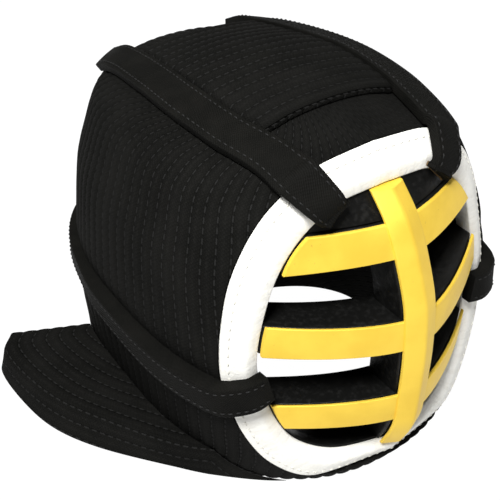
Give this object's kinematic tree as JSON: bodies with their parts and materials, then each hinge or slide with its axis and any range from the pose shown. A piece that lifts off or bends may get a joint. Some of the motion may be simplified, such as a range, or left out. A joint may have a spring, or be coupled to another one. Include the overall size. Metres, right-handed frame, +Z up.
{
  "type": "kendo mask",
  "caption": "Fencing mask for kendo: quilted dark hood with shoulder flaps, white leather rim round a barred gilded face grille, and crown and side straps.",
  "frame": {"origin": "middle of the base, on the surface the mask stands on", "axes": "+Z up through the crown, the face looks along -Y, +X is to the wearer's left"},
  "size_m": [0.3844, 0.3198, 0.2475],
  "materials": {
    "quilted_cloth": "matt quilted cotton",
    "strap_cloth": "dense stitched strap",
    "white_leather": "smooth white leather",
    "black_lacquer": "black lacquer",
    "gilt": "polished gilt"
  },
  "bodies": {
    "root": {"hood": "quilted_cloth", "crown_pad": "quilted_cloth", "crown_strap_left": "strap_cloth", "crown_strap_right": "strap_cloth", "face_rim": "white_leather", "grille_frame": "black_lacquer", "grille_facing": "gilt", "brow_plate": "black_lacquer", "side_band": "strap_cloth", "shoulder_flap_left": "quilted_cloth", "shoulder_flap_right": "quilted_cloth"}
  },
  "joints": []
}
